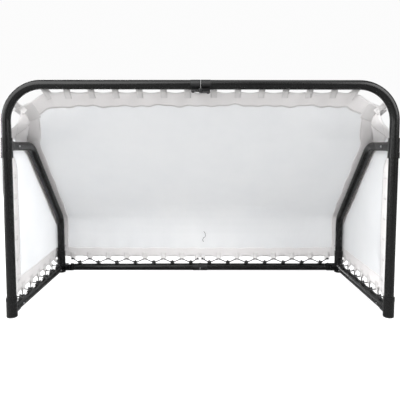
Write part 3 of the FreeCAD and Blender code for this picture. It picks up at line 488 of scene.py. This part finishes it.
def seam_share(depth):
    """The share of the seam's length at a distance behind the posts, as far as the lower bend."""
    lengths = [math.dist(a, b) for a, b in zip(SEAM_PROFILE, SEAM_PROFILE[1:])]
    run = 0.0
    for (near, _), (far, _), length in zip(SEAM_PROFILE, SEAM_PROFILE[1:3], lengths):
        if depth <= far:
            return (run + length * clamp((depth - near) / (far - near))) / sum(lengths)
        run += length
    return run / sum(lengths)


def soft_noise(x, y, seed):
    """A slow, seeded swell between -1 and 1."""
    source = random.Random(seed)
    total = 0.0
    for _ in range(5):
        pull_x = source.uniform(-9, 9)
        pull_y = source.uniform(-9, 9)
        phase = source.uniform(0, 2 * math.pi)
        total += math.sin(pull_x * x + pull_y * y + phase)
    return total / 5


def back_surface(across, down):
    """The back net's skin. across runs from the left seam to the right, down from the top hem."""
    u = 2 * across - 1
    edge = abs(u)
    outer = rounded(SEAM_PROFILE, down, CORNER_EASE)
    inner = rounded(MIDDLE_PROFILE, down, MIDDLE_EASE)
    corner = clamp((edge * SEAM_TOP_X - CORNER_START) / (SEAM_TOP_X - CORNER_START))
    behind_tube = min(edge / TUBE_EDGE, 1) ** 3.5
    toward_seam = mix(mix(corner, smooth(corner), 0.3), behind_tube, smooth(down / 0.24))
    depth = mix(inner[0], outer[0], toward_seam)
    height = mix(inner[1], outer[1], toward_seam)
    x = u * seam_x(down)
    near_top = math.exp(-down / PEG_PUCKER_REACH)
    near_low = math.exp(-(1 - down) / HOOK_PUCKER_REACH)
    peg_wave = math.cos(2 * math.pi * (abs(x) - PEG_START) / PEG_PITCH)
    hook_wave = math.cos(2 * math.pi * x / HOOK_PITCH)
    swell = BROAD_SWELL * soft_noise(x * 0.7, down * 1.2, 3)
    swell += FINE_SWELL * soft_noise(x * 2.6, down * 2.2, 11)
    swell += PEG_PUCKER * near_top * peg_wave
    swell += HOOK_PUCKER * near_low * hook_wave
    from_corner = math.hypot((SEAM_TOP_X - abs(x)) * 1.2, down * 1.1)
    crease_wave = math.sin(46 * (SEAM_TOP_X - abs(x)) + 38 * down + 9 * u)
    swell += CORNER_CREASE * math.exp(-from_corner / CREASE_REACH) * crease_wave
    off_tube = 1 - min(edge / TUBE_EDGE, 1) ** 8
    swell *= off_tube * smooth(down / SEWN_EDGE) * smooth((1 - down) / SEWN_EDGE)
    tilt = SLOPE_TILT * smooth((0.93 - down) / 0.2) + UPRIGHT_TILT
    point = Vector((x, POST.y + depth, height))
    point += Vector((0, math.cos(tilt), math.sin(tilt))) * swell
    point.z += RISE_AT_PEG * near_top ** 3 * peg_wave
    point.z -= DROP_AT_HOOK * near_low ** 3 * hook_wave
    return point


def band_surface(surface, place, lift):
    """A band laid on a surface. place turns the band's own shares into the surface's."""
    lifted = offset_surface(surface, lift)
    return lambda along_band, over_band: lifted(*place(along_band, over_band))


def layer(name, surface, place, lift, columns, rows, material):
    """A second thickness of cloth, sewn onto a surface."""
    return thicken(grid_piece(name, band_surface(surface, place, lift), columns, rows, material), SKIN)


def ripple(share, waves):
    """The uneven width of a hand-fed hem. Each wave is (size, frequency, phase)."""
    return sum(size * math.sin(frequency * share + phase) for size, frequency, phase in waves)


def top_hem_place(share, over):
    width = TOP_HEM + ripple(share, [(0.0035, 61, 0), (0.003, 143, 1), (0.002, 29, 0)])
    return share, over * width / BACK_LENGTH


def low_hem_place(share, over):
    width = LOW_HEM + ripple(share, [(0.0015, 57, 0), (0.0015, 131, 2)])
    return share, 1 - over * width / BACK_LENGTH


def from_seam(sign, inward, down):
    """The back net's shares at a share inward of its left or right seam."""
    return (1 - inward, down) if sign > 0 else (inward, down)


def seam_band_place(sign):
    """The band along the left or right seam."""
    def place(share, over):
        down = mix(*BAND_SPAN, share)
        width = BAND_WIDTH + ripple(share, [(0.002, 40, 0)])
        return from_seam(sign, over * width / (2 * seam_x(down)), down)
    return place


def corner_patch_place(sign):
    """The doubled cloth where a top corner's bands cross."""
    def place(share, over):
        return from_seam(sign, share * PATCH_WIDTH / (2 * SEAM_TOP_X), mix(*PATCH_SPAN, over))
    return place


def stitch_row(threads, surface, place, over, count, lift):
    """A row of short stitches along a band, at a share of its width."""
    sewn = band_surface(surface, place, lift)
    for index in range(count):
        start = (index + 0.2) / count
        end = start + STITCH_SHARE / count
        threads.add([sewn(share, over) for share in (start, (start + end) / 2, end)])


def fold_net(piece):
    """The back net is carried by the left side frame, on a mesh of its own."""
    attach(piece, "side_left")
    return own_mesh(piece)


def loose_thread():
    """A dark thread end that hangs in a loop near the middle of the lower hem."""
    beside_middle = 0.016
    swing = 0.012
    # Each turn is (share of the swing, distance above the hem's edge).
    turns = [(0.4, 0.150), (0.9, 0.142), (1.3, 0.128), (0.9, 0.116), (0.2, 0.112), (-0.2, 0.100),
             (0.3, 0.088)]
    lifted = offset_surface(back_surface, THREAD_LIFT)
    curl = Tubes(0.0011)
    curl.add([lifted(0.5 + (beside_middle + swing * shift) / (2 * SEAM_X), 1 - rise / BACK_LENGTH)
              for shift, rise in turns])
    return curl.piece("back_net_loose_thread", MATERIALS["elastic_cord"])


def make_back_net():
    columns = 241
    cloth = thicken(grid_piece("back_net_cloth", back_surface, columns, 121, MATERIALS["net_cloth"]), SKIN)
    hems = [layer("back_net_top_hem", back_surface, top_hem_place, HEM_LIFT, columns, 9, BAND_CLOTH),
            layer("back_net_low_hem", back_surface, low_hem_place, HEM_LIFT, columns, 9, BAND_CLOTH)]
    for side, sign in SIDES.items():
        hems.append(layer(f"back_net_band_{side}", back_surface, seam_band_place(sign), BAND_LIFT,
                          121, 9, BAND_CLOTH))
        hems.append(layer(f"back_net_corner_{side}", back_surface, corner_patch_place(sign), PATCH_LIFT,
                          21, 21, TAPE))
    threads = Tubes(STITCH_RADIUS)
    stitch_row(threads, back_surface, top_hem_place, 0.92, 240, HEM_STITCH_LIFT)
    stitch_row(threads, back_surface, low_hem_place, 0.92, 240, HEM_STITCH_LIFT)
    for sign in SIDES.values():
        stitch_row(threads, back_surface, seam_band_place(sign), 0.93, 130, BAND_STITCH_LIFT)
    stitches = threads.piece("back_net_stitches", THREAD)
    hems.append(loose_thread())
    for piece in [cloth, stitches, *hems]:
        fold_net(piece)
    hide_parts("back_net")


# ---------------------------------------------------------------- the side nets


# A side net's front and back edges behind the post axes, how far the tabs and the lacing pull it inboard, how
# much it bulges and puckers outward, and between which shares of it the bands run.
SIDE_FRONT = 0.0285
SIDE_BACK = LOWER_BEND[0] - 0.001
POST_PULL = 0.032
BASE_PULL = 0.020
SIDE_SWELL = 0.0035
SIDE_BULGE = 0.003
SIDE_PUCKER = 0.0022
SIDE_BAND_SPAN = (0.004, 0.996)


def side_top(depth):
    """Height of the side net's upper edge at a distance behind the posts."""
    for (near, high), (far, low) in zip(SEAM_PROFILE, SEAM_PROFILE[1:3]):
        if depth <= far:
            return mix(high, low, clamp((depth - near) / (far - near)))
    return LOWER_BEND[1]


def side_pull(depth, height):
    """How far the loops and the lacing draw the side net inboard. It stays outside the side tube."""
    front = POST_PULL * math.exp(-((depth - SIDE_FRONT) / 0.11) ** 2)
    front *= smooth((abs(height - TEE_AXIS) - 0.030) / 0.07)
    low = BASE_PULL * math.exp(-((height - HEM_LOW) / 0.10) ** 2)
    low *= smooth((SIDE_BACK - 0.075 - depth) / 0.08) * smooth(1.2 - depth / 0.6)
    return max(front, low)


def side_surface(sign):
    """A side net's skin. back runs from the post to the seam, down from the upper edge to the hem."""
    def surface(back, down):
        depth = mix(SIDE_FRONT, SIDE_BACK, back)
        high = side_top(depth)
        height = mix(high, HEM_LOW, down)
        lean = SEAM_X - seam_x(seam_share(depth))
        above = 0
        if high > UPPER_BEND[1]:
            above = clamp((height - UPPER_BEND[1]) / max(high - UPPER_BEND[1], 0.001))
        x = SIDE_PLANE - lean * smooth(above) - side_pull(depth, height)
        held = smooth(back / 0.05) * smooth((1 - back) / 0.05)
        held = held * smooth(down / 0.04) * smooth((1 - down) / 0.04)
        hook_wave = math.cos(2 * math.pi * (depth - SIDE_HOOK_START) / SIDE_HOOK_PITCH)
        tab_wave = math.cos(2 * math.pi * height / POST_TAB_PITCH)
        swell = SIDE_SWELL * soft_noise(depth * 3, height * 2, 21 + sign) + SIDE_BULGE
        swell += SIDE_PUCKER * math.exp(-(1 - down) / 0.1) * hook_wave
        swell += SIDE_PUCKER * math.exp(-back / 0.08) * tab_wave
        return Vector((sign * (x + max(swell, 0) * held * (1 - above)), POST.y + depth, height))
    return surface


def side_bands():
    """The bands along a side net's post, hem and seam: the place, lift and number of stitches of each."""
    def front(share, over):
        return over * FRONT_BAND / (SIDE_BACK - SIDE_FRONT), mix(*SIDE_BAND_SPAN, share)

    def low(share, over):
        depth = mix(SIDE_FRONT, SIDE_BACK, share)
        return mix(*SIDE_BAND_SPAN, share), 1 - over * LOW_HEM / (side_top(depth) - HEM_LOW)

    def high(share, over):
        depth = mix(SIDE_FRONT, SIDE_BACK, share)
        return mix(*SIDE_BAND_SPAN, share), over * BAND_WIDTH / (side_top(depth) - HEM_LOW)

    return {"front": (front, 0.0014, 110), "low": (low, 0.0018, 100), "seam": (high, 0.0010, 110)}


def seam_bead(side, sign):
    """The round bead where a side net is sewn to the back net."""
    steps = 80
    places = []
    for step in range(steps + 1):
        share = step / steps
        hung = rounded(SEAM_PROFILE, share, CORNER_EASE)
        places.append(Vector((sign * seam_x(share), POST.y, 0)) + Vector((0, *hung)))
    bead = Tubes(0.0022, 8)
    bead.add(places)
    return bead.piece(f"net_seam_{side}", TAPE)


def make_side_net(side, sign):
    surface = side_surface(sign)
    columns = 101
    cloth = thicken(grid_piece(f"side_net_cloth_{side}", surface, columns, 101, MATERIALS["net_cloth"]), SKIN)
    threads = Tubes(STITCH_RADIUS)
    bands = []
    for word, (place, lift, count) in side_bands().items():
        # Both side surfaces have their normal towards -X, which is inward on the right side only.
        inward = -lift if sign < 0 else lift
        bands.append(layer(f"side_net_{word}_band_{side}", surface, place, inward, columns, 7, BAND_CLOTH))
        stitch_row(threads, surface, place, 0.92, count, inward * 1.7)
    bands.append(seam_bead(side, sign))
    bands.append(threads.piece(f"side_net_stitches_{side}", THREAD))
    for piece in [cloth, *bands]:
        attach(piece, f"side_{side}")
    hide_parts(f"side_net_{side}")
    width = SIDE_BACK - SIDE_FRONT
    steps = 200
    area = sum(side_top(mix(SIDE_FRONT, SIDE_BACK, (step + 0.5) / steps)) - HEM_LOW
               for step in range(steps)) * width / steps


# ---------------------------------------------------------------- tabs and loops


def ribbon(points, faces, route):
    """A flat tape along a route of (place, direction of its width) pairs, added to points and faces."""
    shifts = (-1.0, -0.4, 0.4, 1.0)
    around = 2 * len(shifts)
    first = len(points)
    for index, (place, sideways) in enumerate(route):
        before = route[max(index - 1, 0)][0]
        after = route[min(index + 1, len(route) - 1)][0]
        ahead = (after - before).normalized()
        face = sideways.cross(ahead).normalized() * (TAB_THICKNESS / 2)
        for shift in shifts:
            points.append(place + sideways * (TAB_WIDTH / 2 * shift) + face)
        for shift in reversed(shifts):
            points.append(place + sideways * (TAB_WIDTH / 2 * shift) - face)
    for index in range(len(route) - 1):
        for turn in range(around):
            here = first + index * around + turn
            beside = first + index * around + (turn + 1) % around
            faces.append((here, here + around, beside + around, beside))
    faces.append(tuple(first + turn for turn in range(around)))
    last = first + (len(route) - 1) * around
    faces.append(tuple(last + turn for turn in reversed(range(around))))


def ease(route):
    """Round a route's corners by cutting them twice."""
    for _ in range(2):
        cut = [route[0]]
        for a, b in zip(route, route[1:]):
            cut += [a.lerp(b, 0.25), a.lerp(b, 0.75)]
        route = [*cut, route[-1]]
    return route


# A top tab goes from the front of the hem over its peg and down behind the hem. The part above the hem is
# given as depths behind the post axes and heights above the hem's edge, the legs as reaches below that edge.
TOP_TAB = [(0.0262, 0.004), (0.0218, 0.016), (0.0212, 0.032), (0.0224, 0.037), (0.0240, 0.037),
           (0.0250, 0.032), (0.0256, 0.016), (0.0300, 0.004)]
LEG_END = 0.030
LEG_START = 0.012
TAB_HEIGHT = 0.045
FRONT_LEG_LIFT = -0.0036
BACK_LEG_LIFT = 0.0020

# A loop on a lower hem starts just above the hem's edge and slants over to the cord as it drops. A tab round
# the post reaches back over the side net.
LOOP_START = 0.003
LOOP_LENGTH = 0.008
LOOP_DROP = 0.012
CORD_SIDE = 0.008
POST_TAB_REACH = 0.036
POST_TAB_ANGLES = (20, 115)


def on_hem(x, drop, lift):
    """A point on the back net, a distance below its top edge and lifted off it towards the back."""
    down = drop / BACK_LENGTH
    return offset_surface(back_surface, lift)((x / seam_x(down) + 1) / 2, down)


def corner_tab(sign):
    """The tab that slants from a top corner to the corner tube: its route, and the direction of its width."""
    corner = Vector((sign * (SEAM_TOP_X - 0.010), POST.y + 0.034, SEAM_TOP_Z + 0.018))
    outward = Vector((sign * 0.78, 0, 0.62)).normalized()
    across = Vector((outward.z, 0, -outward.x))
    # Each point is (distance outward, distance towards the mouth) from the tab's place on the net.
    steps = [(-0.045, 0), (-0.02, 0), (0, 0), (0.012, 0.008), (0.020, 0.013)]
    return ease([corner + outward * out + Vector((0, -forward, 0)) for out, forward in steps]), across


def top_tabs(side, sign):
    """The tabs that button the top hem onto the pegs behind the crossbar."""
    points = []
    faces = []
    source = random.Random(5 + sign)
    for index in range(PEG_COUNT):
        peg_x = PEG_START + PEG_PITCH * index
        hem_x = min(peg_x, CORNER_START - 0.004)
        lean = source.uniform(-0.0015, 0.0015)
        foot_x = sign * (hem_x + lean)
        route = [on_hem(foot_x, LEG_END, FRONT_LEG_LIFT), on_hem(foot_x, LEG_START, FRONT_LEG_LIFT)]
        for depth, rise in TOP_TAB:
            x = mix(hem_x + lean, peg_x, clamp((rise + LEG_START) / TAB_HEIGHT))
            route.append(Vector((sign * x, POST.y + depth, NET_TOP - 0.004 + rise)))
        route += [on_hem(foot_x, LEG_START, BACK_LEG_LIFT), on_hem(foot_x, LEG_END, BACK_LEG_LIFT)]
        sideways = Vector((1, 0, -sign * (peg_x - hem_x) / TAB_HEIGHT)).normalized()
        ribbon(points, faces, [(place, sideways) for place in ease(route)])
    route, across = corner_tab(sign)
    ribbon(points, faces, [(place, across) for place in route])
    tabs = make_piece(f"net_top_tabs_{side}", points, faces, TAPE)
    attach(tabs, f"front_{side}")


def add_loop(points, faces, hem, sideways, outward, slant):
    """A tape loop on a lower hem: down one face, over to the elastic, round it and up the other face."""
    up = Vector((0, 0, 1))
    half = [(0.0035, 0.020), (0.0032, 0.006), (0.0034, -0.004), (0.0046, -LOOP_LENGTH + 0.004),
            (0.0030, -LOOP_LENGTH - 0.003)]
    shape = half + [(-out, rise) for out, rise in reversed(half)]
    route = []
    for place in ease([hem + outward * out + up * rise for out, rise in shape]):
        drop = clamp((hem.z - place.z) / LOOP_DROP)
        route.append((place + slant * drop, sideways))
    ribbon(points, faces, route)


def low_tabs(side, sign):
    """The white loops on the back net's lower hem that the elastic runs through."""
    points = []
    faces = []
    cord_y = REAR.y + CORD_SIDE
    hem_y = POST.y + LOWER_BEND[0] - SLACK_AT_HEM
    slant = Vector((0, cord_y - hem_y, CORD_HEIGHT - HEM_LOW))
    for index in range(HOOK_COUNT + 1):
        x = sign * clamp(HOOK_PITCH * index, 0.016, HOOK_PITCH * HOOK_COUNT - 0.008)
        edge = clamp((abs(x) / SEAM_X)) ** 4
        hem = Vector((x, hem_y + 0.008 * edge, HEM_LOW + LOOP_START))
        add_loop(points, faces, hem, Vector((1, 0, 0)), Vector((0, 1, 0)), slant)
    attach(make_piece(f"net_low_tabs_{side}", points, faces, TAPE), f"rear_{side}")


def post_tab(sign, height):
    """The route of a tab from the side net's front edge round the outside of the post."""
    reach = TUBE_RADIUS + TAB_THICKNESS
    near = SIDE_PLANE - side_pull(SIDE_FRONT, height)
    far = SIDE_PLANE - side_pull(SIDE_FRONT + POST_TAB_REACH, height)
    route = [Vector((sign * (far - 0.003), POST.y + SIDE_FRONT + POST_TAB_REACH, height)),
             Vector((sign * (near - 0.003), POST.y + SIDE_FRONT + 0.002, height))]
    for step in range(9):
        angle = math.radians(mix(*POST_TAB_ANGLES, step / 8))
        across = POST.x + reach * math.cos(angle)
        route.append(Vector((sign * across, POST.y + reach * math.sin(angle), height)))
    return ease(route)


def side_tabs(side, sign):
    """The loops on a side net's lower hem and the short tabs that hold its front edge to the post."""
    points = []
    faces = []
    for index in range(SIDE_HOOK_COUNT + 1):
        depth = SIDE_HOOK_START + SIDE_HOOK_PITCH * (index - 0.5)
        if index == SIDE_HOOK_COUNT:
            depth -= 0.010
        hem_x = SIDE_PLANE - side_pull(depth, HEM_LOW)
        hem = Vector((sign * hem_x, POST.y + depth, HEM_LOW + LOOP_START))
        slant = Vector((sign * (POST.x + CORD_SIDE - hem_x), 0, CORD_HEIGHT - HEM_LOW))
        add_loop(points, faces, hem, Vector((0, 1, 0)), Vector((sign, 0, 0)), slant)
    upright = Vector((0, 0, 1))
    height = POST_TAB_LOW
    while height < POST_TAB_HIGH:
        ribbon(points, faces, [(place, upright) for place in post_tab(sign, height)])
        height += POST_TAB_PITCH
    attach(make_piece(f"side_net_tabs_{side}", points, faces, TAPE), f"side_{side}")


# ---------------------------------------------------------------- studio


# Each lamp is (name, place, (width, height), watts), and all of them face AIM.
LAMPS = [("key", (-2.6, -3.0, 3.4), (5.5, 5.5), 400),
         ("left", (-3.0, -0.5, 0.9), (1.2, 1.6), 34),
         ("back", (-2.6, 4.4, 1.6), (4.0, 2.6), 230),
         ("top", (0.3, -0.6, 3.4), (2.6, 2.0), 22),
         ("fill", (3.2, -2.6, 2.8), (3.5, 3.5), 200)]
AIM = Vector((0, 0, 0.5))

# The floor and the world look white to the camera but give less light than that, which keeps the black paint
# black.
FLOOR_GREY = 0.32
FLOOR_SEEN = 0.85
WORLD_LIGHT = 0.26
WORLD_SEEN = 0.97


def camera_only(nodes, links, otherwise, seen):
    """One value for what the camera sees directly and another for the light that is given off."""
    return spread(nodes, links, nodes.new("ShaderNodeLightPath").outputs["Is Camera Ray"], otherwise, seen)


def make_floor():
    bpy.ops.mesh.primitive_plane_add(size=30, location=(0, 0, 0))
    floor = bpy.context.object
    floor.name = "studio_floor"
    material, nodes, links, shader = new_material("studio_floor")
    shader.inputs["Base Color"].default_value = (FLOOR_GREY, FLOOR_GREY, FLOOR_GREY, 1)
    shader.inputs["Roughness"].default_value = 0.75
    shader.inputs["Emission Color"].default_value = (1, 1, 1, 1)
    links.new(camera_only(nodes, links, 0.0, FLOOR_SEEN), shader.inputs["Emission Strength"])
    floor.data.materials.append(material)


def make_world(scene):
    scene.world = scene.world or bpy.data.worlds.new("studio")
    scene.world.use_nodes = True
    nodes = scene.world.node_tree.nodes
    links = scene.world.node_tree.links
    background = nodes["Background"]
    background.inputs["Color"].default_value = (1, 1, 1, 1)
    links.new(camera_only(nodes, links, WORLD_LIGHT, WORLD_SEEN), background.inputs["Strength"])


def studio():
    make_floor()
    scene = bpy.context.scene
    scene.view_settings.view_transform = "Standard"
    make_world(scene)
    for name, place, (width, tall), power in LAMPS:
        lamp = bpy.data.lights.new(name, "AREA")
        lamp.shape = "RECTANGLE"
        lamp.size = width
        lamp.size_y = tall
        lamp.energy = power
        holder = bpy.data.objects.new(name, lamp)
        holder.location = place
        holder.rotation_euler = (AIM - Vector(place)).to_track_quat("-Z", "Y").to_euler()
        scene.collection.objects.link(holder)


def camera():
    """A view from in front of the mouth, above its middle and looking slightly down."""
    view = bpy.data.cameras.new("camera")
    view.lens = 39.6
    view.sensor_width = 36
    view.shift_y = -0.05
    holder = bpy.data.objects.new("camera", view)
    holder.location = (-0.006, POST.y - 1.781, 0.701)
    holder.rotation_euler = (math.radians(90 - 4.22), math.radians(-0.05), math.radians(-0.12))
    bpy.context.scene.collection.objects.link(holder)
    bpy.context.scene.camera = holder


camera()
studio()
dress_frame()
make_back_net()
for side, sign in SIDES.items():
    make_side_net(side, sign)
    top_tabs(side, sign)
    low_tabs(side, sign)
    side_tabs(side, sign)
